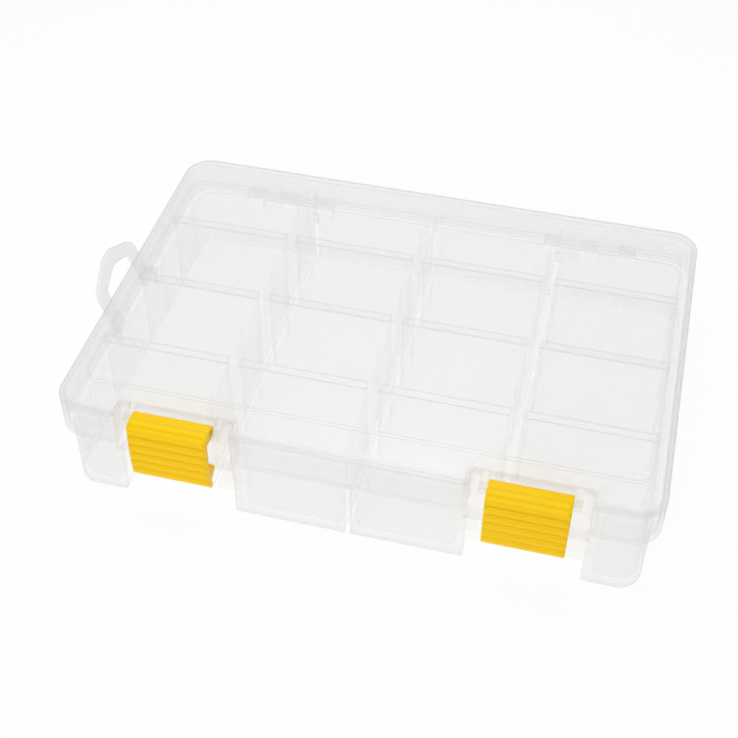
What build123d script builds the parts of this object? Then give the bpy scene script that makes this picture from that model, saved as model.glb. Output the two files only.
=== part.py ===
from build123d import *
import math
import os

os.makedirs("parts", exist_ok=True)

# Utility box with a clear tray, a hinged clear lid, two pull-out latches, a folding
# hang loop and twelve dividers that lift out of slots.
# Millimetres. +Z is up, the latches face -Y and the hinge is at +Y.
# The origin is on the surface that the box stands on, under the middle of the tray.

# Outside of the closed box
box_length = 205.0
box_depth = 145.0
box_height = 40.0
lid_corner_radius = 10.0
lid_edge_radius = 1.5
split_height = 25.3  # lower edge of the lid's skirt

# Walls of the two mouldings
lid_wall = 1.3
lid_top = 1.6
tray_wall = 1.4
tray_floor = 1.5
tray_corner_radius = 8.0
foot_edge_radius = 0.6
cavity_corner_radius = 2.0
cavity_floor_radius = 1.4

# Gaps between the lid and the tray
front_inset = 1.4  # the tray's front face, behind the lid's
rim_gap = 1.0  # skirt to rim at the front and back, which the lid's swing needs
end_gap = 1.8  # skirt to rim at the ends
seam_gap = 0.5  # under the skirt's lower edge
rim_top_gap = 0.4  # between the tray's rim and the underside of the lid

# Sunk panel on the lid's top
panel_depth = 0.5
panel_side_margin = 5.5
panel_front_margin = 14.5
panel_corner_radius = 6.0

# Bays that are cut into the front for the latches and the fingers
bay_width = 40.0
bay_end_margin = 22.5  # from the lid's end to the near side of a bay
bay_depth = 7.5
bay_side_gap = 0.5
bay_corner_radius = 1.6  # in the lid
foot_corner_radius = 0.8  # in the tray

# Compartments
column_count = 4
partition_width = 3.8
partition_hollow = 2.0
partition_cap = 1.2
hollow_web = 3.0  # solid web across the middle of each partition's hollow
partition_top_gap = 0.5
row_pitch = 35.25
divider_rows = (-1, 0, 1)
divider_thickness = 1.2
divider_bead_width = 3.4
divider_bead_height = 1.6
divider_end_gap = 0.2
divider_corner_cut = 1.8
slots_per_row = 2
slot_reach = 3  # slots on each side of the middle one
slot_rib_width = 1.0
slot_rib_depth = 1.2
slot_gap = 0.15  # on each side of a divider in its slot
slot_rib_top_gap = 0.2

# Latches, which hang from pins in the lid's ears
latch_width = 27.5
latch_barrel_radius = 2.5
latch_pin_forward = 5.3  # pin axis in front of the bay's back wall
latch_pin_drop = 2.6  # pin axis under the lid's top
latch_pin_radius = 1.0
latch_side_gap = 0.3
latch_bow_radius = 100.0
latch_bow_height = 28.0
latch_front = 4.45  # most forward point, in front of the lid
latch_bottom = 15.0
latch_plate = 2.2
latch_lip = 1.5
latch_top_radius = 2.0
latch_rib_count = 6
latch_rib_pitch = 3.75
latch_rib_half_height = 1.95
latch_rib_half_depth = 0.85
latch_rib_sink = 0.3
latch_rib_start = 18.4  # height of the lowest rib
ear_thickness = 2.4

# Ledge on the tray that each latch's tooth holds on to
keeper_thickness = 2.4
keeper_inset = 0.1  # behind the lid's front face
tooth_bite = 2.0
tooth_gap = 0.4
tooth_height = 1.6
tooth_ramp = 3.6

# Hinge at the back
hinge_end_margin = 40.5  # from the lid's end to the middle of a hinge
hinge_back = 3.1  # axis behind the lid's back face
hinge_drop = 1.6  # axis under the skirt's lower edge
hinge_barrel_radius = 2.7
hinge_pin_radius = 1.2
knuckle_count = 5
knuckle_width = 7.0
knuckle_gap = 0.4
hinge_web_height = 7.5
web_root = 0.7  # how far a web reaches into its wall
web_angle = math.radians(30)  # where a web's edge meets its round barrel

# Hang loop at the left end
loop_half_width = 16.6
loop_length = 23.0
loop_shoulder = 16.7
loop_tip_half_width = 3.4
loop_strap = 5.4
loop_thickness = 1.8
loop_round = 5.5
loop_tilt = 70.0  # above level, as it stands
loop_axis_out = 0.5  # axis outside the lid's end face
loop_barrel_radius = 1.7
loop_stub_radius = 1.0
loop_side_gap = 0.4
lug_radius = 2.0
lug_thickness = 2.4
lug_top_gap = 0.9
lug_web_drop = 6.0
loop_hole_tip_share = 0.33  # of the strap's width, off the hole's narrow end

# Running fits on the radius
pin_seat_gap = 0.03
pin_turn_gap = 0.08

# Heights
step_height = split_height - seam_gap
rim_height = box_height - lid_top - rim_top_gap
partition_height = box_height - panel_depth - lid_top - partition_top_gap
keeper_underside = step_height - keeper_thickness

# Plan sizes of the tray
tray_length = box_length - 2 * (lid_wall + end_gap)
tray_depth = box_depth - 2 * front_inset
rim_depth = box_depth - 2 * (lid_wall + rim_gap)
inner_length = tray_length - 2 * tray_wall
inner_depth = rim_depth - 2 * tray_wall
inner_corner_radius = tray_corner_radius - tray_wall
lid_front_y = -box_depth / 2
bay_wall_y = lid_front_y + bay_depth
tray_bay_y = bay_wall_y + lid_wall + rim_gap
inner_bay_y = tray_bay_y + tray_wall
rim_bay_width = bay_width + 2 * (lid_wall + bay_side_gap)
inner_bay_width = rim_bay_width + 2 * tray_wall

# Places of the latches and hinges, left and right of the middle
bay_centre = box_length / 2 - bay_end_margin - bay_width / 2
hinge_spread = box_length / 2 - hinge_end_margin

# Columns of compartments
column_width = (inner_length - (column_count - 1) * partition_width) / column_count
column_pitch = column_width + partition_width
column_centres = [(i - (column_count - 1) / 2) * column_pitch for i in range(column_count)]
partition_centres = [x + column_pitch / 2 for x in column_centres[:-1]]
slot_pitch = row_pitch / slots_per_row

# Axes of the moving joints, as (y, z) or (x, z)
latch_axis = (bay_wall_y - latch_pin_forward, box_height - latch_pin_drop)
hinge_axis = (box_depth / 2 + hinge_back, split_height - hinge_drop)
loop_axis = (-box_length / 2 - loop_axis_out, split_height - lug_top_gap - lug_radius)
latch_pin_length = latch_width + 2 * (latch_side_gap + ear_thickness)
hinge_width = knuckle_count * knuckle_width + (knuckle_count - 1) * knuckle_gap

# Every cut runs this far past the face that it opens
past = 1.0

# Corners are picked by place to within this distance
near = 0.01


def block(x_low, x_high, y_low, y_high, z_low, z_high):
    """Box between two corners."""
    size = (x_high - x_low, y_high - y_low, z_high - z_low)
    return Pos(x_low, y_low, z_low) * Box(*size, align=(Align.MIN, Align.MIN, Align.MIN))


def slab(outline, z_low, z_high):
    """Plan outline raised between two heights."""
    return extrude(Pos(0, 0, z_low) * outline, z_high - z_low)


def along_x(profile, x_low, x_high):
    """Profile drawn in (y, z), carried along X between two places."""
    plane = Plane(origin=(x_low, 0, 0), x_dir=(0, 1, 0), z_dir=(1, 0, 0))
    return extrude(plane * profile, x_high - x_low)


def along_y(profile, y_low, y_high):
    """Profile drawn in (x, z), carried along Y between two places."""
    plane = Plane(origin=(0, y_high, 0), x_dir=(1, 0, 0), z_dir=(0, -1, 0))
    return extrude(plane * profile, y_high - y_low)


def polygon(*points):
    """Flat face through the given corners."""
    return make_face(Polyline(*points, close=True))


def disc(centre, radius):
    """Round face at a place in the drawing plane."""
    return Pos(centre[0], centre[1]) * Circle(radius)


def plan_outline(length, depth, corner_radius, opening, bay_y, notch_radius):
    """Rounded rectangle with a notch in its front edge for each latch bay."""
    outline = RectangleRounded(length, depth, corner_radius)
    notch_depth = bay_y + depth / 2
    for side in (-1, 1):
        outline -= Pos(side * bay_centre, -depth / 2) * Rectangle(opening, 2 * notch_depth)
    corners = [v for v in outline.vertices() if is_bay_corner(v, opening, bay_y)]
    return fillet(corners, notch_radius)


def is_bay_corner(vertex, opening, bay_y):
    """True for the corners that a bay's notch made."""
    at_side = abs(abs(abs(vertex.X) - bay_centre) - opening / 2) < near
    return at_side and vertex.Y < bay_y + near


# Tray


def tray_shell():
    """Outside of the tray: a lower body and the set-back rim that the lid covers."""
    corners = (tray_corner_radius, bay_width, tray_bay_y, foot_corner_radius)
    lower_plan = plan_outline(tray_length, tray_depth, *corners)
    lower = slab(lower_plan, 0, step_height)
    lower = fillet(lower.faces().sort_by(Axis.Z)[0].edges(), foot_edge_radius)
    corners = (tray_corner_radius, rim_bay_width, tray_bay_y, foot_corner_radius)
    rim_plan = plan_outline(tray_length, rim_depth, *corners)
    return lower + slab(rim_plan, step_height, rim_height)


def column_cavity(x):
    """Space of one column of compartments, from the back wall to the front wall."""
    corners = (inner_corner_radius, inner_bay_width, inner_bay_y, cavity_corner_radius)
    plan = plan_outline(inner_length, inner_depth, *corners)
    plan &= Pos(x, 0) * Rectangle(column_width, box_depth)
    square_corners = [v for v in plan.vertices() if is_partition_corner(v, x)]
    plan = fillet(square_corners, cavity_corner_radius)
    cavity = slab(plan, tray_floor, rim_height + past)
    return fillet(cavity.faces().sort_by(Axis.Z)[0].edges(), cavity_floor_radius)


def is_partition_corner(vertex, x):
    """True where a partition's side meets the front or back wall of the column at x."""
    at_side = abs(abs(vertex.X - x) - column_width / 2) < near
    at_end_wall = abs(vertex.X) > inner_length / 2 - near
    return at_side and not at_end_wall


def tray_hollow(x):
    """Slot under a partition, open at the bottom and at each end, with a web in its middle."""
    half = partition_hollow / 2
    beside_bay = abs(abs(x) - bay_centre) < inner_bay_width / 2
    front = inner_bay_y if beside_bay else -inner_depth / 2
    mouth_top = keeper_underside if beside_bay else step_height - partition_cap
    top = partition_height - partition_cap
    hollow = block(x - half, x + half, front, inner_depth / 2, -past, top)
    hollow += block(x - half, x + half, -box_depth, box_depth, -past, mouth_top)
    return hollow - block(x - half, x + half, -hollow_web / 2, hollow_web / 2, -past, top)


def slot_ribs(x):
    """Pairs of upright ribs on both sides of a column, one pair to each slot."""
    ribs = []
    reach = divider_thickness / 2 + slot_gap
    rib_top = partition_height - divider_bead_height - slot_rib_top_gap
    for slot in range(-slot_reach, slot_reach + 1):
        for edge in (-1, 1):
            y = slot * slot_pitch + edge * (reach + slot_rib_width / 2)
            for side in (-1, 1):
                wall = x + side * column_width / 2
                inner = wall - side * slot_rib_depth
                outer = wall + side * (partition_width - partition_hollow) / 4
                x_low, x_high = sorted((inner, outer))
                y_low = y - slot_rib_width / 2
                ribs.append(
                    block(x_low, x_high, y_low, y_low + slot_rib_width, tray_floor / 2, rib_top)
                )
    return ribs


def keeper(side):
    """Ledge across the top of a finger bay, which a latch's tooth hooks under."""
    x = side * bay_centre
    half = bay_width / 2 + web_root
    front = lid_front_y + keeper_inset
    back = tray_bay_y + web_root
    return block(x - half, x + half, front, back, keeper_underside, step_height)


def knuckle_starts(side):
    """Left edge of each hinge knuckle on one side of the box."""
    start = side * hinge_spread - hinge_width / 2
    return [start + i * (knuckle_width + knuckle_gap) for i in range(knuckle_count)]


def tray_knuckle(x):
    """Hinge barrel on the tray, with the web that carries it."""
    y, z = hinge_axis
    root = tray_depth / 2 - web_root
    top = step_height - web_root / 2
    low = z - hinge_barrel_radius * math.cos(web_angle)
    heel = y - hinge_barrel_radius * math.sin(web_angle)
    web = polygon((root, top), (y, top), (y, z), (heel, low), (root, top - hinge_web_height))
    profile = web + disc(hinge_axis, hinge_barrel_radius)
    profile -= disc(hinge_axis, hinge_pin_radius + pin_seat_gap)
    return along_x(profile, x, x + knuckle_width)


def loop_lug(side):
    """Lug on the tray's left wall that holds one stub of the hang loop."""
    x, z = loop_axis
    root = -tray_length / 2 + web_root
    high = z + lug_radius
    web = polygon((root, high), (x, high), (x, z - lug_radius), (root, z - lug_web_drop))
    profile = web + disc(loop_axis, lug_radius)
    profile -= disc(loop_axis, loop_stub_radius + pin_turn_gap)
    inner = loop_half_width + loop_side_gap
    y_low, y_high = sorted((side * inner, side * (inner + lug_thickness)))
    return along_y(profile, y_low, y_high)


def make_tray():
    """Tray with its fixed partitions, slots, ledges, hinge knuckles and loop lugs."""
    tray = tray_shell()
    for x in column_centres:
        tray -= column_cavity(x)
    for x in partition_centres:
        top_cut = block(
            x - partition_width / 2 - web_root,
            x + partition_width / 2 + web_root,
            inner_bay_y,
            inner_depth / 2 - cavity_corner_radius,
            partition_height,
            rim_height + past,
        )
        tray -= top_cut
    tray += [keeper(side) for side in (-1, 1)]
    for x in partition_centres:
        tray -= tray_hollow(x)
    for x in column_centres:
        tray += slot_ribs(x)
    for side in (-1, 1):
        tray += [tray_knuckle(x) for x in knuckle_starts(side)[0::2]]
        tray += loop_lug(side)
    return tray


# Dividers


def make_divider(x, y):
    """Plate with a thick top edge that drops into facing slots."""
    half = column_width / 2 - divider_end_gap
    low = tray_floor
    cut = divider_corner_cut
    plate_plan = polygon(
        (-half + cut, low),
        (half - cut, low),
        (half, low + cut),
        (half, partition_height),
        (-half, partition_height),
        (-half, low + cut),
    )
    plate = along_y(plate_plan, -divider_thickness / 2, divider_thickness / 2)
    bead = block(
        -half,
        half,
        -divider_bead_width / 2,
        divider_bead_width / 2,
        partition_height - divider_bead_height,
        partition_height,
    )
    bead = fillet(bead.edges().filter_by(Axis.X), divider_bead_height / 4)
    return Pos(x, y, 0) * (plate + bead)


# Lid


def lid_shell():
    """Top and skirt of the lid, notched for the latches, with its sunk panel."""
    corners = (lid_corner_radius, bay_width, bay_wall_y, bay_corner_radius)
    outer_plan = plan_outline(box_length, box_depth, *corners)
    shell = slab(outer_plan, split_height, box_height)
    shell = fillet(shell.faces().sort_by(Axis.Z)[-1].edges(), lid_edge_radius)
    corners = (
        lid_corner_radius - lid_wall,
        bay_width + 2 * lid_wall,
        bay_wall_y + lid_wall,
        bay_corner_radius,
    )
    inner_plan = plan_outline(box_length - 2 * lid_wall, box_depth - 2 * lid_wall, *corners)
    inner = slab(inner_plan, split_height - past, box_height - lid_top)
    inner = fillet(inner.faces().sort_by(Axis.Z)[-1].edges(), lid_edge_radius - lid_wall)
    panel = RectangleRounded(
        box_length - 2 * panel_side_margin,
        box_depth - 2 * panel_front_margin,
        panel_corner_radius,
    )
    shell -= inner
    shell += slab(panel, box_height - lid_top - panel_depth, box_height - lid_top)
    return shell - slab(panel, box_height - panel_depth, box_height + past)


def latch_ear(x):
    """Ear on the back wall of a latch bay that holds one end of a latch pin."""
    y, z = latch_axis
    top = z + latch_barrel_radius
    low = z - latch_barrel_radius
    wall = bay_wall_y + web_root
    lid_root = bay_wall_y + lid_edge_radius
    under = box_height - lid_top
    body = polygon(
        (y, low),
        (wall, low),
        (wall, under),
        (lid_root, under),
        (lid_root, top),
        (y, top),
    )
    profile = body + disc(latch_axis, latch_barrel_radius)
    profile -= disc(latch_axis, latch_pin_radius + pin_seat_gap)
    return along_x(profile, x, x + ear_thickness)


def lid_knuckle(x):
    """Hinge barrel on the lid, with the web that carries it."""
    y, z = hinge_axis
    root = box_depth / 2 - web_root
    web = polygon(
        (root, split_height),
        (y, z),
        (
            y + hinge_barrel_radius * math.sin(web_angle),
            z + hinge_barrel_radius * math.cos(web_angle),
        ),
        (root, split_height + hinge_web_height),
    )
    profile = web + disc(hinge_axis, hinge_barrel_radius)
    profile -= disc(hinge_axis, hinge_pin_radius + pin_turn_gap)
    return along_x(profile, x, x + knuckle_width)


def make_lid():
    """Lid with its latch ears and hinge knuckles."""
    lid = lid_shell()
    ear_reach = latch_width / 2 + latch_side_gap
    for side in (-1, 1):
        x = side * bay_centre
        lid += [latch_ear(x - ear_reach - ear_thickness), latch_ear(x + ear_reach)]
        lid += [lid_knuckle(start) for start in knuckle_starts(side)[1::2]]
    return lid


# Latches


def latch_face_y(z):
    """Place of the latch's bowed front face at a height."""
    rise = z - latch_bow_height
    return lid_front_y - latch_front + latch_bow_radius - math.sqrt(latch_bow_radius**2 - rise**2)


def latch_plate_profile():
    """Bowed front plate of a latch, from its top to its lower lip."""
    top = latch_axis[1] + latch_barrel_radius
    shoulder = top - latch_top_radius
    foot = latch_bottom + latch_top_radius
    front = ThreePointArc(
        (latch_face_y(shoulder), shoulder),
        (latch_face_y(latch_bow_height), latch_bow_height),
        (latch_face_y(foot), foot),
    )
    toe = (latch_face_y(foot) + latch_plate - latch_lip / 2, latch_bottom)
    back_low = (latch_face_y(foot) + latch_plate + latch_lip / 2, latch_bottom)
    back_foot = (latch_face_y(foot) + latch_plate + latch_lip / 2, foot)
    inner_low = (latch_face_y(latch_bow_height) + latch_plate, foot + tooth_ramp / 2)
    inner_high = (latch_face_y(latch_bow_height) + latch_plate, shoulder - latch_plate)
    crown = (latch_face_y(shoulder) + latch_top_radius, top)
    rest = Polyline(
        (latch_face_y(foot), foot),
        toe,
        back_low,
        back_foot,
        inner_low,
        inner_high,
        (latch_axis[0], latch_axis[1] - latch_barrel_radius),
        (latch_axis[0], top),
        crown,
        (latch_face_y(shoulder), shoulder),
    )
    return make_face(front + rest)


def latch_tooth_profile():
    """Tooth that hooks under the keeper, with a ramp that rides over it."""
    tip = lid_front_y + keeper_inset + tooth_bite
    top = keeper_underside - tooth_gap
    low = top - tooth_height
    back = latch_face_y(low) + latch_plate / 2
    return polygon((back, top), (tip, top), (tip, low), (back, low - tooth_ramp))


def make_latch(side):
    """Latch with its barrel, tooth and the grip ribs on its front face."""
    profile = latch_plate_profile() + disc(latch_axis, latch_barrel_radius)
    profile += latch_tooth_profile()
    for i in range(latch_rib_count):
        z = latch_rib_start + i * latch_rib_pitch
        rib = Ellipse(latch_rib_half_depth, latch_rib_half_height)
        profile += Pos(latch_face_y(z) + latch_rib_sink, z) * rib
    profile -= disc(latch_axis, latch_pin_radius + pin_turn_gap)
    x = side * bay_centre
    return along_x(profile, x - latch_width / 2, x + latch_width / 2)


def make_latch_pin(side):
    """Pin through a latch's barrel and both of its ears."""
    start = side * bay_centre - latch_pin_length / 2
    return along_x(disc(latch_axis, latch_pin_radius), start, start + latch_pin_length)


def make_hinge_pin(side):
    """Pin through the knuckles of one hinge."""
    start = side * hinge_spread - hinge_width / 2
    return along_x(disc(hinge_axis, hinge_pin_radius), start, start + hinge_width)


# Hang loop


def loop_plan(half_width, length, shoulder, tip_half_width, rounding):
    """Outline of the loop lying flat, with its axis along Y through the origin."""
    outline = polygon(
        (0, -half_width),
        (-shoulder, -half_width),
        (-length, -tip_half_width),
        (-length, tip_half_width),
        (-shoulder, half_width),
        (0, half_width),
    )
    outer_corners = [v for v in outline.vertices() if v.X < -near]
    return fillet(outer_corners, rounding)


def make_loop():
    """Loop with a barrel at each foot and a stub that turns in the tray's lug."""
    outer = loop_plan(loop_half_width, loop_length, loop_shoulder, loop_tip_half_width, loop_round)
    inner = loop_plan(
        loop_half_width - loop_strap,
        loop_length - loop_strap,
        loop_shoulder - loop_strap / 2,
        loop_tip_half_width - loop_strap * loop_hole_tip_share,
        loop_round - loop_strap / 2,
    )
    # The hole is cut a second time further in, so that it runs out between the loop's feet.
    flat = outer - inner - Pos(past, 0) * inner
    loop = slab(flat, -loop_thickness / 2, loop_thickness / 2)
    foot_inner = loop_half_width - loop_strap
    stub_end = loop_half_width + loop_side_gap + lug_thickness
    for side in (-1, 1):
        y_low, y_high = sorted((side * foot_inner, side * loop_half_width))
        loop += along_y(disc((0, 0), loop_barrel_radius), y_low, y_high)
        y_low, y_high = sorted((side * (loop_half_width - web_root), side * stub_end))
        loop += along_y(disc((0, 0), loop_stub_radius), y_low, y_high)
    return Pos(loop_axis[0], 0, loop_axis[1]) * Rot(0, loop_tilt, 0) * loop


# Written parts


def write_part(shape, name):
    """Store one named piece."""
    export_step(shape, f"parts/{name}.step")


sides = {"left": -1, "right": 1}
write_part(make_tray(), "base_tray")
write_part(make_lid(), "lid")
write_part(make_loop(), "hang_loop")
for side_name, side_sign in sides.items():
    write_part(make_latch(side_sign), f"latch_{side_name}")
    write_part(make_latch_pin(side_sign), f"latch_pin_{side_name}")
    write_part(make_hinge_pin(side_sign), f"hinge_pin_{side_name}")
divider_places = [(x, row * row_pitch) for row in divider_rows for x in column_centres]
for number, place in enumerate(divider_places, start=1):
    write_part(make_divider(*place), f"divider_{number}")
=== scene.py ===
# %% [markdown]
# # A flat compartment box with two yellow latches
# The box is moulded from natural polypropylene, which is milky and lets light through, and its
# two latches are moulded from the same plastic in yellow. The construction comes from the CAD
# model as a fixed frame: every piece already has its real size and place, so most of this
# lesson is about light and plastic. Only the latches are made again here.

# %% Load the frame
import math
from functools import partial

import bpy
from mathutils import Matrix


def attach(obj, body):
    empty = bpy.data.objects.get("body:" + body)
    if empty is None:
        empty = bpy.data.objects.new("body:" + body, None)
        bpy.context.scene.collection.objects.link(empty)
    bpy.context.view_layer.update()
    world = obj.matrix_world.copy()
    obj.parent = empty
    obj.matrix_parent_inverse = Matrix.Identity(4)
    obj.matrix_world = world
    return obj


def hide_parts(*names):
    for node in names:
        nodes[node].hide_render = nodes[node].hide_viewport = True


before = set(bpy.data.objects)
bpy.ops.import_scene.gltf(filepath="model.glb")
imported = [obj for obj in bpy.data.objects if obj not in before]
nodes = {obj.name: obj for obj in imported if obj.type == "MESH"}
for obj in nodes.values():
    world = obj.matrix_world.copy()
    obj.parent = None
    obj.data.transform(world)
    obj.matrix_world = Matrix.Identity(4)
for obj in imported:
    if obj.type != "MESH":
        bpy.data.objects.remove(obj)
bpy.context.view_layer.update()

MM = 0.001

# %% [markdown]
# ## Camera
# The photograph looks down on the box at about 45 degrees, from a little to the right of its
# front. A camera could be turned by eye until the edges match. Here its place, turn and focal
# length were solved from the straight edges of the lid and the feet, which is closer. Blender's
# camera looks along its own -Z with +Y up, so the picture's right, down and forward directions
# become the columns of its rotation.

# %% Place the camera
VIEW_RIGHT = (0.97000, 0.24300, 0.00652)
VIEW_DOWN = (0.17501, -0.67950, -0.71250)
VIEW_FORWARD = (-0.16871, 0.69227, -0.70165)
VIEW_PLACE = (73.632 * MM, -343.558 * MM, 357.201 * MM)
SENSOR_WIDTH = 36.0
FOCAL_PIXELS = 1316.61
PICTURE_PIXELS = 738

camera = bpy.data.objects.new("camera", bpy.data.cameras.new("camera"))
bpy.context.scene.collection.objects.link(camera)
turn = Matrix((VIEW_RIGHT, [-v for v in VIEW_DOWN], [-v for v in VIEW_FORWARD])).transposed()
camera.matrix_world = Matrix.Translation(VIEW_PLACE) @ turn.to_4x4()
camera.data.sensor_width = SENSOR_WIDTH
camera.data.lens = FOCAL_PIXELS * SENSOR_WIDTH / PICTURE_PIXELS
camera.data.clip_start = 10 * MM
bpy.context.scene.camera = camera
print("Lens in mm:", round(camera.data.lens, 2))

# %% [markdown]
# ## Small helpers for materials
# Colours are easiest to note as sRGB hex values, as a paint chart gives them, but a shader
# wants linear light. A second helper adds a node, sets it up and wires it. The short helpers
# further down stand on it, so that each material reads as a list of its layers.


# %% Colour and node helpers
def linear(hex_colour):
    """Linear red, green, blue and alpha of an sRGB hex colour."""
    channels = [int(hex_colour[i : i + 2], 16) / 255 for i in (1, 3, 5)]
    bent = [c / 12.92 if c <= 0.04045 else ((c + 0.055) / 1.055) ** 2.4 for c in channels]
    return (*bent, 1.0)


def add_node(tree, kind, inputs=None, **settings):
    """A new node with its settings made and its inputs filled with values or wires."""
    node = tree.nodes.new(kind)
    for name, value in settings.items():
        setattr(node, name, value)
    for key, value in (inputs or {}).items():
        if isinstance(value, bpy.types.NodeSocket):
            tree.links.new(value, node.inputs[key])
        else:
            node.inputs[key].default_value = value
    return node


def new_material(name):
    """An empty material, its node tree and the place of a point on the piece."""
    material = bpy.data.materials.new(name)
    material.use_nodes = True
    tree = material.node_tree
    tree.nodes.clear()
    return material, tree, add_node(tree, "ShaderNodeTexCoord").outputs["Object"]


WHITE, BLACK = linear("#FFFFFF"), linear("#000000")
print("White as linear light:", WHITE)

# %% [markdown]
# ## Regions of the mouldings
# Thin ribs are clearer than a thick rim, so the milk isn't the same all over a piece. A region
# is a mask from 0 to 1 that is worked out from the place of a point on the box, and each one
# sets another share of milk, darkens with painted shade or tints the milk with painted yellow
# light from the latches. Every region is a product of soft steps. A step names what it runs
# along, then where its mask is 0 and where it is 1.
#
# - X, Y and Z are the box's own directions.
# - depth is the distance from the lid's outline in plan, positive inside.
# - aside is the distance from the middle of the nearer latch, along the front.
# - beyond is the distance past the left or the back edge of the lid's flat top.
# - tilt is 0 on a face that stands upright and 1 on a level one.

# %% List the regions, in millimetres
BOX_LENGTH, BOX_DEPTH = 205.0, 145.0
CORNER_RADIUS = 10.0
LID_TOP = 40.0
SKIRT_FOOT = 25.3
LATCH_CENTRE = 60.0
FLAT_TOP_LEFT, FLAT_TOP_BACK = -99.0, 69.0

RIM_HEIGHT = ("Z", LID_TOP - 2.5, LID_TOP - 1.5)
TRAY_OUTSIDE = ("depth", 3.6, 3.3)
UPRIGHT = ("tilt", 0.3, 0.2)
ABOVE_THE_FLOOR = ("Z", 1.8, 2.6)
INSIDE_THE_WALLS = ("depth", 4.6, 4.8)

REGIONS = {
    # The lid's skirt, which hangs around the tray and is darkened a little with painted shade.
    "skirt": [("depth", 1.9, 1.3)],
    # Solid corner between the lid's top and its skirt.
    "rim": [RIM_HEIGHT, ("depth", 4.5, 2.5)],
    # Outermost part of the rim, where sight runs longest through the plastic. Its darkening is
    # painted shade for a dark line along the edge.
    "rim_edge": [RIM_HEIGHT, ("depth", 2.5, 2.1)],
    # Left and back edge of the rim, darkened with painted shade on these two sides only.
    "painted_shade_far_edges": [RIM_HEIGHT, ("depth", 2.3, 1.9), ("beyond", 0.0, 1.0)],
    # Upright face around the sunk panel of the lid's top, darkened with painted shade to draw the
    # step as a line.
    "sunk_panel_step": [UPRIGHT, ("Z", LID_TOP - 3.0, LID_TOP - 2.8), ("depth", 4.5, 5.0)],
    # Outside of the tray's walls below the skirt, and the lowest strip of it. The first is darkened
    # a little with painted shade.
    "outer_wall": [("Z", SKIRT_FOOT, SKIRT_FOOT - 0.5), TRAY_OUTSIDE],
    "outer_foot": [("Z", 7.0, 1.0), TRAY_OUTSIDE],
    # Top of the tray's outer walls, close under the lid.
    "tray_rim": [("Z", 33.0, 34.0), ("depth", 6.0, 5.5)],
    # Partitions and slot ribs, and their lowest part, which thickens towards the floor.
    "inner_works": [ABOVE_THE_FLOOR, INSIDE_THE_WALLS],
    "partition_feet": [ABOVE_THE_FLOOR, INSIDE_THE_WALLS, ("Z", 10.0, 3.0)],
    # Upright sides of the bead along a divider's top, darkened with painted shade into thin lines.
    "bead_sides": [UPRIGHT, ("Z", 35.4, 35.8)],
    # Thin walls and ears around the two latches.
    "latch_bays": [("aside", 20.0, 18.0), ("Y", -62.0, -65.0)],
    # Beside the latches, where painted yellow light from them tints the milk.
    "near_latches": [("aside", 23.0, 15.0), ("Y", -56.0, -65.0)],
    # Hinge knuckles.
    "behind_the_box": [("depth", -0.1, -0.5)],
}
print("Regions:", len(REGIONS), "with steps:", sum(len(steps) for steps in REGIONS.values()))

# %% [markdown]
# ## Measuring for the regions
# A moulding is one closed mesh, so its skirt and its ribs aren't pieces that could have a
# material of their own. Faces could be picked by hand, or weights painted on them, but the
# next change in the CAD would undo that. Here the shader works out from the place of each
# point how far inside the outline or how far from a latch it lies.


# %% Measure a point for the regions
def math_node(tree, operation, *values):
    """Output of one math node."""
    return add_node(tree, "ShaderNodeMath", dict(enumerate(values)), operation=operation).outputs[0]


def vector_node(tree, operation, *vectors):
    """One vector math node."""
    inputs = dict(enumerate(vectors))
    return add_node(tree, "ShaderNodeVectorMath", inputs, operation=operation)


def ramp(tree, value, low, high):
    """0 below low and 1 above high, or the other way round where low is the larger."""
    inputs = {"Value": value, "From Min": low, "From Max": high}
    return add_node(tree, "ShaderNodeMapRange", inputs).outputs["Result"]


def depth_inside(tree, place):
    """Distance of a point from the lid's outline in plan, positive inside."""
    radius = CORNER_RADIUS * MM
    inner_half = (BOX_LENGTH * MM / 2 - radius, BOX_DEPTH * MM / 2 - radius, 1.0)
    size = vector_node(tree, "ABSOLUTE", place).outputs[0]
    past = vector_node(tree, "SUBTRACT", size, inner_half).outputs[0]
    past = vector_node(tree, "MAXIMUM", past, (0, 0, 0)).outputs[0]
    return math_node(tree, "SUBTRACT", radius, vector_node(tree, "LENGTH", past).outputs["Value"])


def tilt(tree):
    """Upward or downward part of a face's normal, on the closed box."""
    normal = add_node(tree, "ShaderNodeNewGeometry").outputs["True Normal"]
    own = add_node(
        tree,
        "ShaderNodeVectorTransform",
        {"Vector": normal},
        vector_type="NORMAL",
        convert_from="WORLD",
        convert_to="OBJECT",
    )
    level = add_node(tree, "ShaderNodeSeparateXYZ", {0: own.outputs[0]}).outputs["Z"]
    return math_node(tree, "ABSOLUTE", level)


def measure(tree, place, along):
    """What a step runs along, in metres or, for a tilt, as a plain number."""
    if along == "depth":
        return depth_inside(tree, place)
    if along == "tilt":
        return tilt(tree)
    parts = add_node(tree, "ShaderNodeSeparateXYZ", {0: place}).outputs
    if along == "aside":
        off_centre = math_node(tree, "ABSOLUTE", parts["X"])
        aside = math_node(tree, "SUBTRACT", off_centre, LATCH_CENTRE * MM)
        return math_node(tree, "ABSOLUTE", aside)
    if along == "beyond":
        past_left = math_node(tree, "SUBTRACT", FLAT_TOP_LEFT * MM, parts["X"])
        past_back = math_node(tree, "SUBTRACT", parts["Y"], FLAT_TOP_BACK * MM)
        return math_node(tree, "MAXIMUM", past_left, past_back)
    return parts[along]


def mask_of(tree, place, region):
    """Mask of a region, from 0 outside it to 1 inside."""
    mask = None
    for along, none_at, all_at in REGIONS[region]:
        unit = 1.0 if along == "tilt" else MM
        step = ramp(tree, measure(tree, place, along), none_at * unit, all_at * unit)
        mask = step if mask is None else math_node(tree, "MULTIPLY", mask, step)
    return mask


print("Steps run along:", sorted({step[0] for steps in REGIONS.values() for step in steps}))

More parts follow.
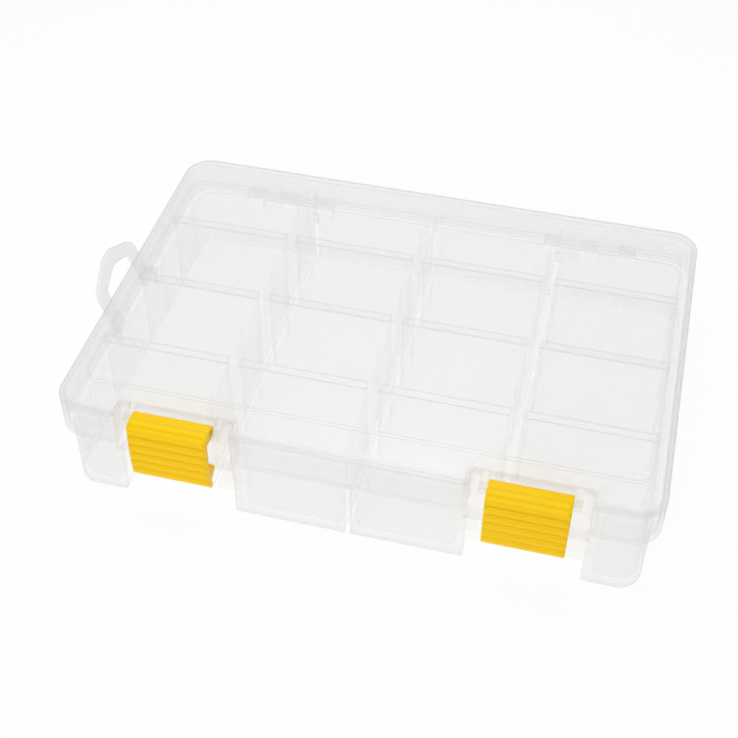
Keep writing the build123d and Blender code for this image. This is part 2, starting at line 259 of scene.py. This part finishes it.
# %% [markdown]
# ## Milky polypropylene
# Natural polypropylene isn't clear like glass. Its crystals scatter a part of the light in
# every wall, so one wall looks almost clear and many walls behind each other look grey and
# soft. A wall seen edge-on hides more, because sight runs through it for longer. A glass
# shader would bend light at every one of these thin walls and take very long to render, so
# the wall is mixed from three simple layers instead: light that goes straight through, light
# that the crystals scatter to both sides, and a satin shine from the moulded skin.

# %% Helpers for the layers of a plastic
GRAIN_DEPTH = 0.03 * MM


def stretch(tree, value, low, high):
    """low where the value is 0 and high where it is 1."""
    inputs = {"Value": value, "To Min": low, "To Max": high}
    return add_node(tree, "ShaderNodeMapRange", inputs).outputs["Result"]


def blend(tree, share, first, second, kind="FLOAT"):
    """The second value or colour by its share, and the first by the rest."""
    inputs = {"Factor": share, "A": first, "B": second}
    return add_node(tree, "ShaderNodeMix", inputs, data_type=kind).outputs["Result"]


def blend_shaders(tree, share, first, second):
    """The second shader by its share, and the first by the rest."""
    inputs = {"Fac": share, 1: first, 2: second}
    return add_node(tree, "ShaderNodeMixShader", inputs).outputs[0]


def clouds_of(tree, place, size, detail=2.0, roughness=0.5):
    """Soft noise from 0 to 1, in clouds of the given size."""
    inputs = {"Vector": place, "Scale": 1 / size, "Detail": detail, "Roughness": roughness}
    return add_node(tree, "ShaderNodeTexNoise", inputs).outputs["Fac"]


def grained(tree, height, strength):
    """Normal of a moulded skin with fine dents."""
    inputs = {"Strength": strength, "Distance": GRAIN_DEPTH, "Height": height}
    return add_node(tree, "ShaderNodeBump", inputs).outputs[0]


def shader(tree, kind, inputs):
    """Output of one plain shader."""
    return add_node(tree, kind, inputs).outputs[0]


print("Grain depth in mm:", GRAIN_DEPTH / MM)

# %% [markdown]
# ## Mixing the layers
# Every face of a wall does the same to the light, so the recipe is written once for a face
# and each piece gets its own amounts. Clouds vary them a little, because the plastic flows
# into the mould unevenly, and the regions set them anew where a wall is thicker or thinner.
# Some regions and edges are also darkened with painted shade.

# %% Work out how much light goes straight through
SKIN_IOR = 1.49  # polypropylene


def less(tree, value, mask, share):
    """The value without the share that a region takes from it."""
    taken = math_node(tree, "MULTIPLY", mask, share)
    return math_node(tree, "MULTIPLY", value, math_node(tree, "SUBTRACT", 1.0, taken))


def passed_share(tree, milk, facing):
    """Share of the light that goes straight through a wall face."""
    # It falls with the length of the way through the wall, and light bends towards the wall's
    # normal as it enters, so even a slanted way is at most a third longer.
    left_clear = math_node(tree, "SUBTRACT", 1.0, milk)
    head_on = math_node(tree, "SUBTRACT", 1.0, facing)
    squared = math_node(tree, "MULTIPLY", head_on, head_on)
    inside_squared = stretch(tree, squared, 1 - 1 / SKIN_IOR**2, 1.0)
    way = math_node(tree, "POWER", inside_squared, -0.5)
    return math_node(tree, "POWER", left_clear, way)


print("Longest way through a wall, in thicknesses:", round((1 - 1 / SKIN_IOR**2) ** -0.5, 2))

# %% Mix the milky plastic
MILK_COLOUR = linear("#F5F5F6")  # of the scattered light
# Painted yellow light from the latches, mixed into the scattered light beside them.
PAINTED_LATCH_LIGHT_COLOUR = linear("#FDF6DC")  # the same beside the latches, whose yellow shines through
HEAD_ON_SHINE = ((SKIN_IOR - 1) / (SKIN_IOR + 1)) ** 2
EDGE_SHINE = 0.2  # share mirrored at a grazing angle, where fine grain spreads the rest
SCATTERED_ON = 0.5  # share of the scattered light that leaves on the far side
SHINE_POWER = 5.0  # how late the shine rises towards the edge
# The next power sets how late the painted shade of edges rises towards the edge.
EDGE_SHADE_POWER = 3.0  # the same for the light that edges lose
SATIN = 0.2  # roughness of the moulded skin
SATIN_CLOUDS = (0.8, 1.25)  # its least and most, as shares of the above
MILK_CLOUDS = (0.8, 1.2)  # the same for the milk
FLOW_SIZE = 22 * MM  # clouds from the way that the plastic flowed in the mould
GRAIN_SIZE = 0.6 * MM  # satin grain of the mould, drawn coarser than the real 0.05 mm so it shows


def milky_polypropylene(name, milk, other_milk=None, painted_shade=None, dull=None, edge_loss_and_painted_shade=0.0):
    """Injection-moulded natural polypropylene.

    milk is the share that one face scatters, and other_milk gives regions a share of their own.
    The next one gives regions a share of painted shade, which takes light away to draw dark
    lines and bands, and dull gives regions the share of their shine that they lack. The last
    one darkens a face edge-on: partly for the longer way through the plastic, partly as painted
    shade for the dark light that a real edge bends in.
    """
    material, tree, place = new_material(name)
    facing = add_node(tree, "ShaderNodeLayerWeight", {"Blend": 0.5}).outputs["Facing"]
    # Slow clouds make some stretches of a wall a little milkier and duller than others.
    clouds = clouds_of(tree, place, FLOW_SIZE, detail=3.0, roughness=0.55)
    for region, its_milk in (other_milk or {}).items():
        milk = blend(tree, mask_of(tree, place, region), milk, its_milk)
    milk = math_node(tree, "MULTIPLY", milk, stretch(tree, clouds, *MILK_CLOUDS))
    # Beside the latches the scattered light is tinted with painted yellow light from them.
    milk_and_painted_light = blend(tree, mask_of(tree, place, "near_latches"), MILK_COLOUR, PAINTED_LATCH_LIGHT_COLOUR, "RGBA")
    back = shader(tree, "ShaderNodeBsdfDiffuse", {"Color": milk_and_painted_light})
    onwards = shader(tree, "ShaderNodeBsdfTranslucent", {"Color": milk_and_painted_light})
    scattered = blend_shaders(tree, SCATTERED_ON, back, onwards)
    straight = shader(tree, "ShaderNodeBsdfTransparent", {})
    wall = blend_shaders(tree, passed_share(tree, milk, facing), scattered, straight)

    # A fine grain in the skin breaks up the highlights.
    grain = clouds_of(tree, place, GRAIN_SIZE, roughness=0.6)
    satin = stretch(tree, clouds, SATIN * SATIN_CLOUDS[0], SATIN * SATIN_CLOUDS[1])
    dents = grained(tree, grain, strength=0.12)
    skin = shader(tree, "ShaderNodeBsdfGlossy", {"Roughness": satin, "Normal": dents})
    rise = math_node(tree, "POWER", facing, SHINE_POWER)
    mirrored = stretch(tree, rise, HEAD_ON_SHINE, EDGE_SHINE)
    for region, its_lack in (dull or {}).items():
        mirrored = less(tree, mirrored, mask_of(tree, place, region), its_lack)
    skinned = blend_shaders(tree, mirrored, wall, skin)

    # Edges are darkened a little, which draws them as thin grey lines: partly for the longer way
    # through the plastic, partly as painted shade for the dark light that a real edge bends in.
    # Regions add painted shade of their own.
    at_edge = math_node(tree, "POWER", facing, EDGE_SHADE_POWER)
    kept = math_node(tree, "SUBTRACT", 1.0, math_node(tree, "MULTIPLY", at_edge, edge_loss_and_painted_shade))
    for region, its_loss in (painted_shade or {}).items():
        kept = less(tree, kept, mask_of(tree, place, region), its_loss)
    # Black for the light that painted shade takes away.
    shade_black = shader(tree, "ShaderNodeBsdfTransparent", {"Color": BLACK})
    dimmed = blend_shaders(tree, kept, shade_black, skinned)
    add_node(tree, "ShaderNodeOutputMaterial", {"Surface": dimmed})
    return material


print("Share mirrored head-on:", round(HEAD_ON_SHINE, 4))

# %% [markdown]
# ## One plastic, five mixtures
# All the clear pieces are the same plastic, and only their thickness and shape differ, besides
# the painted shade on some edges. The amounts could come from measured samples. Here they
# were found by comparing renders with the photograph, compartment by compartment and edge by
# edge.

# %% Give the milky pieces their plastic
lid_plastic = milky_polypropylene(
    "moulded_natural_polypropylene_lid",
    milk=0.13,
    other_milk={"skirt": 0.15, "rim": 0.32, "latch_bays": 0.05, "behind_the_box": 0.1},
    # Painted shade darkens the skirt, the rim's edge, its left and back edge, the panel's step and,
    # edge-on, every face.
    painted_shade={"skirt": 0.01, "rim_edge": 0.05, "painted_shade_far_edges": 0.02, "sunk_panel_step": 0.08},
    dull={"latch_bays": 1.0},
    edge_loss_and_painted_shade=0.1,
)
tray_plastic = milky_polypropylene(
    "moulded_natural_polypropylene_tray",
    milk=0.13,
    other_milk={
        "outer_wall": 0.2,
        "outer_foot": 0.3,
        "tray_rim": 0.05,
        "inner_works": 0.035,
        "partition_feet": 0.07,
        "latch_bays": 0.05,
        "behind_the_box": 0.1,
    },
    # Painted shade darkens the outer wall a little.
    painted_shade={"outer_wall": 0.035},
    dull={"latch_bays": 1.0, "inner_works": 0.6},
)
divider_plastic = milky_polypropylene(
    # Painted shade draws the sides of the beads as thin lines.
    "moulded_natural_polypropylene_divider", milk=0.09, painted_shade={"bead_sides": 0.09}
)
loop_plastic = milky_polypropylene(
    # The loop's edges get painted shade as well.
    "moulded_natural_polypropylene_loop", milk=0.45, edge_loss_and_painted_shade=0.15
)
pin_plastic = milky_polypropylene("drawn_natural_polypropylene_pin", milk=0.04)


def give(node_name, material):
    """Put a material on a piece of the frame."""
    piece = nodes[node_name]
    piece.data.materials.clear()
    piece.data.materials.append(material)


give("lid", lid_plastic)
give("base_tray", tray_plastic)
give("hang_loop", loop_plastic)
for node_name in nodes:
    if node_name.startswith("divider_"):
        give(node_name, divider_plastic)
    if "_pin_" in node_name:
        give(node_name, pin_plastic)
print("Milky pieces:", sum(1 for n in nodes if not n.startswith("latch_") or "_pin_" in n))

# %% [markdown]
# ## Yellow latches
# A latch is a bowed plate with a barrel at its top, a tooth behind its lower half and grip
# ribs across its front. The CAD model has it with sharp ends, and the moulded one has small
# round edges that catch the light. A flat curve with a bevel gives exactly that: it is the
# side view of the latch, filled, raised to the latch's width and rounded at both ends.

# %% List the latch's sizes, in millimetres
LATCH_WIDTH = 27.5
AXIS = (-70.3, 37.4)  # the pin's y and z
BARREL_RADIUS = 2.5
BORE_RADIUS = 1.08
BOW_RADIUS = 100.0
BOW_HEIGHT = 28.0
FRONT_Y = -76.95
PLATE = 2.2
LATCH_BOTTOM = 15.0
TOP_RADIUS = 2.0
LIP = 1.5
TOOTH_TIP_Y = -70.4
TOOTH_TOP, TOOTH_LOW = 22.0, 20.4
TOOTH_ROOT = 17.7  # where the slope under the tooth meets the plate
TOOTH_ROOT_OUT = 0.2  # that point's distance behind the plate
END_ROUND = 0.3
INNER_ROUND = 0.35
print("Latch is", LATCH_WIDTH, "mm wide and its plate", PLATE, "mm thick")

# %% Draw the latch's side view
FACE_STEPS, CROWN_STEPS, BARREL_STEPS, BORE_STEPS, CORNER_STEPS = 24, 8, 20, 24, 4
SIDE_PARTS = 2.2  # a rounded corner takes at most one of so many parts of a side


def face_y(z):
    """Place of the bowed front face at a height."""
    return FRONT_Y + BOW_RADIUS - math.sqrt(BOW_RADIUS**2 - (z - BOW_HEIGHT) ** 2)


def arc(centre, radius, start, sweep, steps):
    """Points of an arc with both its ends, from angles in degrees."""
    angles = [math.radians(start + sweep * i / steps) for i in range(steps + 1)]
    return [(centre[0] + radius * math.cos(a), centre[1] + radius * math.sin(a)) for a in angles]


def rounded(points, radius):
    """The polygon with each sharp corner turned by a small arc."""
    out = []
    for i, corner in enumerate(points):
        before, after = points[i - 1], points[(i + 1) % len(points)]
        legs = [math.dist(corner, p) for p in (before, after)]
        reach = min(radius, *(leg / SIDE_PARTS for leg in legs))
        start, end = (
            [c + (p - c) * reach / leg for c, p in zip(corner, neighbour)]
            for neighbour, leg in zip((before, after), legs)
        )
        for k in range(CORNER_STEPS + 1):
            t = k / CORNER_STEPS
            bent = [
                a * (1 - t) ** 2 + c * 2 * t * (1 - t) + b * t**2
                for a, c, b in zip(start, corner, end)
            ]
            out.append(bent)
    return out


def latch_outline():
    """Side view of the latch without its ribs, as (y, z) points."""
    shoulder = AXIS[1] + BARREL_RADIUS - TOP_RADIUS
    foot = LATCH_BOTTOM + TOP_RADIUS
    inner_y = FRONT_Y + PLATE
    heel_y = face_y(foot) + PLATE + LIP / 2
    front = [foot + (shoulder - foot) * i / FACE_STEPS for i in range(FACE_STEPS + 1)]
    crown_centre = (face_y(shoulder) + TOP_RADIUS, shoulder)
    smooth = [(face_y(z), z) for z in front]
    smooth += arc(crown_centre, TOP_RADIUS, 180, -90, CROWN_STEPS)[1:]
    smooth += arc(AXIS, BARREL_RADIUS, 90, -180, BARREL_STEPS)
    cornered = [
        smooth[-1],
        (inner_y, shoulder - PLATE),
        (inner_y, TOOTH_TOP),
        (TOOTH_TIP_Y, TOOTH_TOP),
        (TOOTH_TIP_Y, TOOTH_LOW),
        (inner_y + TOOTH_ROOT_OUT, TOOTH_ROOT),
        (heel_y, foot),
        (heel_y, LATCH_BOTTOM),
        (heel_y - LIP, LATCH_BOTTOM),
        smooth[0],
    ]
    # The first and the last corner belong to the smooth part, so their arcs are left out.
    arc_points = CORNER_STEPS + 1
    return smooth + rounded(cornered, INNER_ROUND)[arc_points:-arc_points]


outline = latch_outline()
print("Latch outline points:", len(outline))
print("Latch height in mm:", max(z for _, z in outline) - LATCH_BOTTOM)

# %% [markdown]
# ## From the side view to a plate
# The mould leaves a small round edge at both ends of the latch. A bevel modifier would also
# round the seams between the strips of its bowed face, so the curve's own bevel is used: it
# rounds only the two ends. Its offset pulls the outline in by as much as the bevel adds, and
# the latch keeps its size.


# %% Turn the side view into a plate with round ends
def latch_plate():
    """Closed mesh of the latch's plate, barrel and tooth, centred on x = 0."""
    drawing = bpy.data.curves.new("latch_side", "CURVE")
    drawing.dimensions = "2D"
    drawing.fill_mode = "BOTH"
    bore = arc(AXIS, BORE_RADIUS, 0, 360, BORE_STEPS)[:-1]
    for loop in (outline, bore):
        spline = drawing.splines.new("POLY")
        spline.points.add(len(loop) - 1)
        for point, (y, z) in zip(spline.points, loop):
            point.co = (y * MM, z * MM, 0, 1)
        spline.use_cyclic_u = True
    drawing.extrude = (LATCH_WIDTH / 2 - END_ROUND) * MM
    drawing.bevel_depth = END_ROUND * MM
    drawing.bevel_resolution = 2
    drawing.offset = -END_ROUND * MM
    holder = bpy.data.objects.new("latch_side", drawing)
    bpy.context.scene.collection.objects.link(holder)
    shown = holder.evaluated_get(bpy.context.evaluated_depsgraph_get())
    mesh = bpy.data.meshes.new_from_object(shown)
    bpy.data.objects.remove(holder)
    # The drawing lies in x and y. It stands up with its x along Y and its y along Z.
    mesh.transform(Matrix(((0, 0, 1, 0), (1, 0, 0, 0), (0, 1, 0, 0), (0, 0, 0, 1))))
    return mesh


plate_mesh = latch_plate()
print("Latch plate faces:", len(plate_mesh.polygons))

# %% [markdown]
# ## Grip ribs with Geometry Nodes
# Six broad ribs lie across the bowed face and a seventh on its top, where the photograph's
# stripes go on over the crown. They follow a rule, so a node tree lays them: a line of points
# goes up the face, each point moves onto the bow, and a flattened rod with round ends sits on
# each. All the sizes are inputs of the tree, so the grip can be changed without touching the
# nodes.

# %% List the inputs of the rib tree
RIB_END_GAP = 0.2  # mm from a rib's end to the latch's end
RIB_INPUTS = {
    "Ribs": ("NodeSocketInt", 6),
    "Pitch": ("NodeSocketFloat", 3.75 * MM),
    "First height": ("NodeSocketFloat", 19.1 * MM),
    "Bow radius": ("NodeSocketFloat", BOW_RADIUS * MM),
    "Bow height": ("NodeSocketFloat", BOW_HEIGHT * MM),
    "Front": ("NodeSocketFloat", FRONT_Y * MM),
    "Sink": ("NodeSocketFloat", 0.3 * MM),
    "Top rib place": ("NodeSocketFloat", -73.9 * MM),
    "Top rib height": ("NodeSocketFloat", 39.3 * MM),
    "Half height": ("NodeSocketFloat", 1.65 * MM),
    "Half depth": ("NodeSocketFloat", 1.1 * MM),
    "End round": ("NodeSocketFloat", 0.5 * MM),
    "Rib length": ("NodeSocketFloat", (LATCH_WIDTH - 2 * RIB_END_GAP) * MM),
    "Plastic": ("NodeSocketMaterial", None),
}
print("Inputs of the rib tree:", len(RIB_INPUTS))

# %% Build the rib tree
ROD_POINTS, RING_POINTS = 21, 32
LEAST_GIRTH = 0.05  # share of a rod's girth that is left at its very end


def rib_tree():
    """Geometry Nodes tree that adds the grip ribs to a plate."""
    tree = bpy.data.node_groups.new("grip_ribs", "GeometryNodeTree")
    tree.interface.new_socket("Geometry", in_out="OUTPUT", socket_type="NodeSocketGeometry")
    tree.interface.new_socket("Geometry", in_out="INPUT", socket_type="NodeSocketGeometry")
    for name, (kind, _) in RIB_INPUTS.items():
        tree.interface.new_socket(name, in_out="INPUT", socket_type=kind)
    given = add_node(tree, "NodeGroupInput").outputs
    math_of = partial(math_node, tree)

    def made(kind, inputs=None):
        return add_node(tree, kind, inputs).outputs[0]

    def point_at(**coordinates):
        return made("ShaderNodeCombineXYZ", coordinates)

    def row_of_points(count, start, step):
        row = {"Count": count, "Start Location": start, "Offset": step}
        return made("GeometryNodeMeshLine", row)

    def moved(geometry, place):
        return made("GeometryNodeSetPosition", {"Geometry": geometry, "Position": place})

    def laid(points, shape, scale):
        copies = {"Points": points, "Instance": shape, "Scale": scale}
        return made("GeometryNodeInstanceOnPoints", copies)

    # Points up the face, moved onto the bow.
    first = point_at(Z=given["First height"])
    ladder = row_of_points(given["Ribs"], first, point_at(Z=given["Pitch"]))
    own = add_node(tree, "ShaderNodeSeparateXYZ", {0: made("GeometryNodeInputPosition")}).outputs
    rise = math_of("SUBTRACT", own["Z"], given["Bow height"])
    bow_squared = math_of("MULTIPLY", given["Bow radius"], given["Bow radius"])
    chord_squared = math_of("SUBTRACT", bow_squared, math_of("MULTIPLY", rise, rise))
    bow_centre = math_of("ADD", given["Front"], given["Bow radius"])
    seat_y = math_of("ADD", bow_centre, given["Sink"])
    on_bow = math_of("SUBTRACT", seat_y, math_of("SQRT", chord_squared))
    seats = moved(ladder, point_at(Y=on_bow, Z=own["Z"]))

    # One rod along X. Its points crowd towards its ends, where it narrows like a ball.
    half = math_of("MULTIPLY", given["Rib length"], 0.5)
    rod = made("GeometryNodeCurvePrimitiveLine", {"End": point_at(X=half)})
    rod = made("GeometryNodeResampleCurve", {"Curve": rod, "Count": ROD_POINTS})
    along = add_node(tree, "GeometryNodeSplineParameter").outputs["Factor"]
    swing = math_of("MULTIPLY", math_of("SUBTRACT", along, 0.5), math.pi)
    rod = moved(rod, point_at(X=math_of("MULTIPLY", half, math_of("SINE", swing))))
    to_end = math_of("SUBTRACT", half, math_of("ABSOLUTE", own["X"]))
    share = math_of("MINIMUM", math_of("DIVIDE", to_end, given["End round"]), 1.0)
    missing = math_of("SUBTRACT", 1.0, share)
    girth = math_of("SQRT", math_of("SUBTRACT", 1.0, math_of("MULTIPLY", missing, missing)))
    girth = math_of("MAXIMUM", girth, LEAST_GIRTH)
    circle = {"Resolution": RING_POINTS, "Radius": given["Half height"]}
    ring = made("GeometryNodeCurvePrimitiveCircle", circle)
    tube = {"Curve": rod, "Profile Curve": ring, "Scale": girth, "Fill Caps": True}
    rib = made("GeometryNodeCurveToMesh", tube)

    # The rod is flattened against the face, and for the rib on the top against the crown.
    flatness = math_of("DIVIDE", given["Half depth"], given["Half height"])
    ribs = laid(seats, rib, point_at(X=1.0, Y=flatness, Z=1.0))
    top_seat = point_at(Y=given["Top rib place"], Z=given["Top rib height"])
    top_point = row_of_points(1, top_seat, (0, 0, 0))
    top_rib = laid(top_point, rib, point_at(X=1.0, Y=1.0, Z=flatness))

    joined = add_node(tree, "GeometryNodeJoinGeometry")
    for geometry in (top_rib, ribs, given["Geometry"]):
        tree.links.new(geometry, joined.inputs[0])
    real = made("GeometryNodeRealizeInstances", {"Geometry": joined.outputs[0]})
    dressed = made("GeometryNodeSetMaterial", {"Geometry": real, "Material": given["Plastic"]})
    add_node(tree, "NodeGroupOutput", {"Geometry": dressed})
    return tree


grip_ribs = rib_tree()
print("Rib tree nodes:", len(grip_ribs.nodes))

# %% [markdown]
# ## Yellow polypropylene
# The latch plastic is the same polypropylene with a warm yellow pigment. It is nearly
# opaque, but light still creeps a little way into it, which keeps its shadows warm. A fine
# mould grain and faint flow clouds keep the colour from looking like paint.

# %% Mix the yellow plastic
PIGMENT = (linear("#FBC900"), linear("#FFD300"))  # where there is less and more of it
PIGMENT_SIZE = 6 * MM
YELLOW_GRAIN_SIZE = 0.4 * MM
YELLOW_SATIN = (0.3, 0.42)


def yellow_polypropylene():
    """Injection-moulded polypropylene with yellow pigment, semi-gloss."""
    material, tree, place = new_material("moulded_yellow_polypropylene")
    clouds = clouds_of(tree, place, PIGMENT_SIZE, detail=3.0)
    grain = clouds_of(tree, place, YELLOW_GRAIN_SIZE)
    plastic = shader(
        tree,
        "ShaderNodeBsdfPrincipled",
        {
            "Base Color": blend(tree, clouds, *PIGMENT, "RGBA"),
            "Roughness": stretch(tree, clouds, *YELLOW_SATIN),
            "IOR": SKIN_IOR,
            "Specular IOR Level": 0.18,
            "Normal": grained(tree, grain, strength=0.15),
            "Subsurface Weight": 0.15,
            "Subsurface Radius": (1.0, 0.6, 0.1),
            "Subsurface Scale": 1.0 * MM,
        },
    )
    add_node(tree, "ShaderNodeOutputMaterial", {"Surface": plastic})
    return material


latch_plastic = yellow_polypropylene()
print("Yellow plastic:", latch_plastic.name)

# %% [markdown]
# ## Two latches from one plate
# Both latches come out of the same mould. So each gets a copy of the plate, and the rib tree
# as a modifier. The result is kept as a plain mesh, because a piece of the frame has to carry
# its ribs with it in every pose.

# %% Make both latches
SHARP_ANGLE = math.radians(40)


def make_latch(side, centre):
    """One finished latch, with its place in its mesh."""
    piece = bpy.data.objects.new(f"latch_{side}_moulding", plate_mesh.copy())
    bpy.context.scene.collection.objects.link(piece)
    modifier = piece.modifiers.new("grip_ribs", "NODES")
    modifier.node_group = grip_ribs
    for item in grip_ribs.interface.items_tree:
        if item.in_out == "INPUT" and item.name in RIB_INPUTS:
            value = RIB_INPUTS[item.name][1]
            modifier[item.identifier] = latch_plastic if item.name == "Plastic" else value
    shown = piece.evaluated_get(bpy.context.evaluated_depsgraph_get())
    mesh = bpy.data.meshes.new_from_object(shown)
    piece.modifiers.clear()
    mesh.transform(Matrix.Translation((centre * MM, 0, 0)))
    piece.data = mesh
    mesh.shade_smooth()
    mesh.set_sharp_from_angle(angle=SHARP_ANGLE)
    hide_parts(f"latch_{side}")
    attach(piece, f"latch_{side}")
    return piece


latches = [make_latch("left", -LATCH_CENTRE), make_latch("right", LATCH_CENTRE)]
print("Latch faces:", [len(piece.data.polygons) for piece in latches])

# %% [markdown]
# ## Floor
# The photograph's floor is white paper with hardly a shadow. Real paper could be lit until it
# turns white, but then the box would be far too bright. So rays from the camera see the floor
# as white, while the light on the box stays at a plain level. A small part of the floor's look
# is real paper, so that a soft shadow still lies on it.

# %% Lay the floor
FLOOR_HALF = 3.0
FLOOR_DROP = 0.2 * MM
PAPER_GLOW = 0.92  # share of the paper's look that takes no shadow
PAPER = (linear("#FDFDFD"), WHITE)
FIBRE_SIZE = 3 * MM


def seen_directly(tree):
    """1 for rays from the camera, in a mirror or through a clear wall, else 0."""
    path = add_node(tree, "ShaderNodeLightPath").outputs
    seen = path["Is Camera Ray"]
    for name in ("Is Glossy Ray", "Is Transmission Ray"):
        seen = math_node(tree, "MAXIMUM", seen, path[name])
    return seen


def white_paper():
    """Matt paper that looks white whatever the light on it, apart from a faint shadow."""
    material, tree, place = new_material("matte_white_paper")
    colour = blend(tree, clouds_of(tree, place, FIBRE_SIZE), *PAPER, "RGBA")
    sheet = shader(tree, "ShaderNodeBsdfDiffuse", {"Color": colour})
    glow = shader(tree, "ShaderNodeEmission", {"Color": WHITE, "Strength": 1.0})
    share = math_node(tree, "MULTIPLY", seen_directly(tree), PAPER_GLOW)
    look = blend_shaders(tree, share, sheet, glow)
    add_node(tree, "ShaderNodeOutputMaterial", {"Surface": look})
    # The glow is only a look. Sampled as a lamp, it would darken what the milk scatters.
    material.cycles.emission_sampling = "NONE"
    return material


floor_mesh = bpy.data.meshes.new("floor")
corners = [(-1, -1), (1, -1), (1, 1), (-1, 1)]
spread = [(x * FLOOR_HALF, y * FLOOR_HALF, -FLOOR_DROP) for x, y in corners]
floor_mesh.from_pydata(spread, [], [(0, 1, 2, 3)])
floor_mesh.materials.append(white_paper())
floor = bpy.data.objects.new("floor", floor_mesh)
bpy.context.scene.collection.objects.link(floor)
print("Floor is", FLOOR_HALF * 2, "m wide")

# %% [markdown]
# ## Light
# The light is soft and comes from all around, with a little more from above and a weak lamp
# low in front, which brings out the latches. White sheets could throw it back as a light tent
# does, but a plain pale world does the same and renders much faster.

# %% Light the box
ROOM_LEVEL = 0.52

world = bpy.data.worlds.new("studio")
bpy.context.scene.world = world
world.use_nodes = True
sky = world.node_tree
sky.nodes.clear()
room = shader(sky, "ShaderNodeBackground", {"Color": WHITE, "Strength": ROOM_LEVEL})
backdrop = shader(sky, "ShaderNodeBackground", {"Color": WHITE, "Strength": 1.0})
around = blend_shaders(sky, seen_directly(sky), room, backdrop)
add_node(sky, "ShaderNodeOutputWorld", {"Surface": around})


def add_lamp(name, place, width, power):
    """Square soft lamp that points at the middle of the box."""
    lamp = bpy.data.objects.new(name, bpy.data.lights.new(name, "AREA"))
    lamp.data.size = width
    lamp.data.energy = power
    lamp.location = place
    lamp.rotation_euler = lamp.location.to_track_quat("Z", "Y").to_euler()
    bpy.context.scene.collection.objects.link(lamp)


# Places and widths are in metres and powers in watts.
add_lamp("window", place=(-0.04, 0.06, 0.42), width=0.25, power=0.7)
add_lamp("front", place=(-0.1, -1.0, 0.55), width=0.3, power=3.0)

# %% [markdown]
# ## Finish
# Sight passes through many thin walls here, two faces each, so the renderer is allowed more
# clear steps than usual.

# %% Finish
scene = bpy.context.scene
scene.view_settings.view_transform = "Standard"
scene.cycles.transparent_max_bounces = 64
scene.cycles.diffuse_bounces = 6
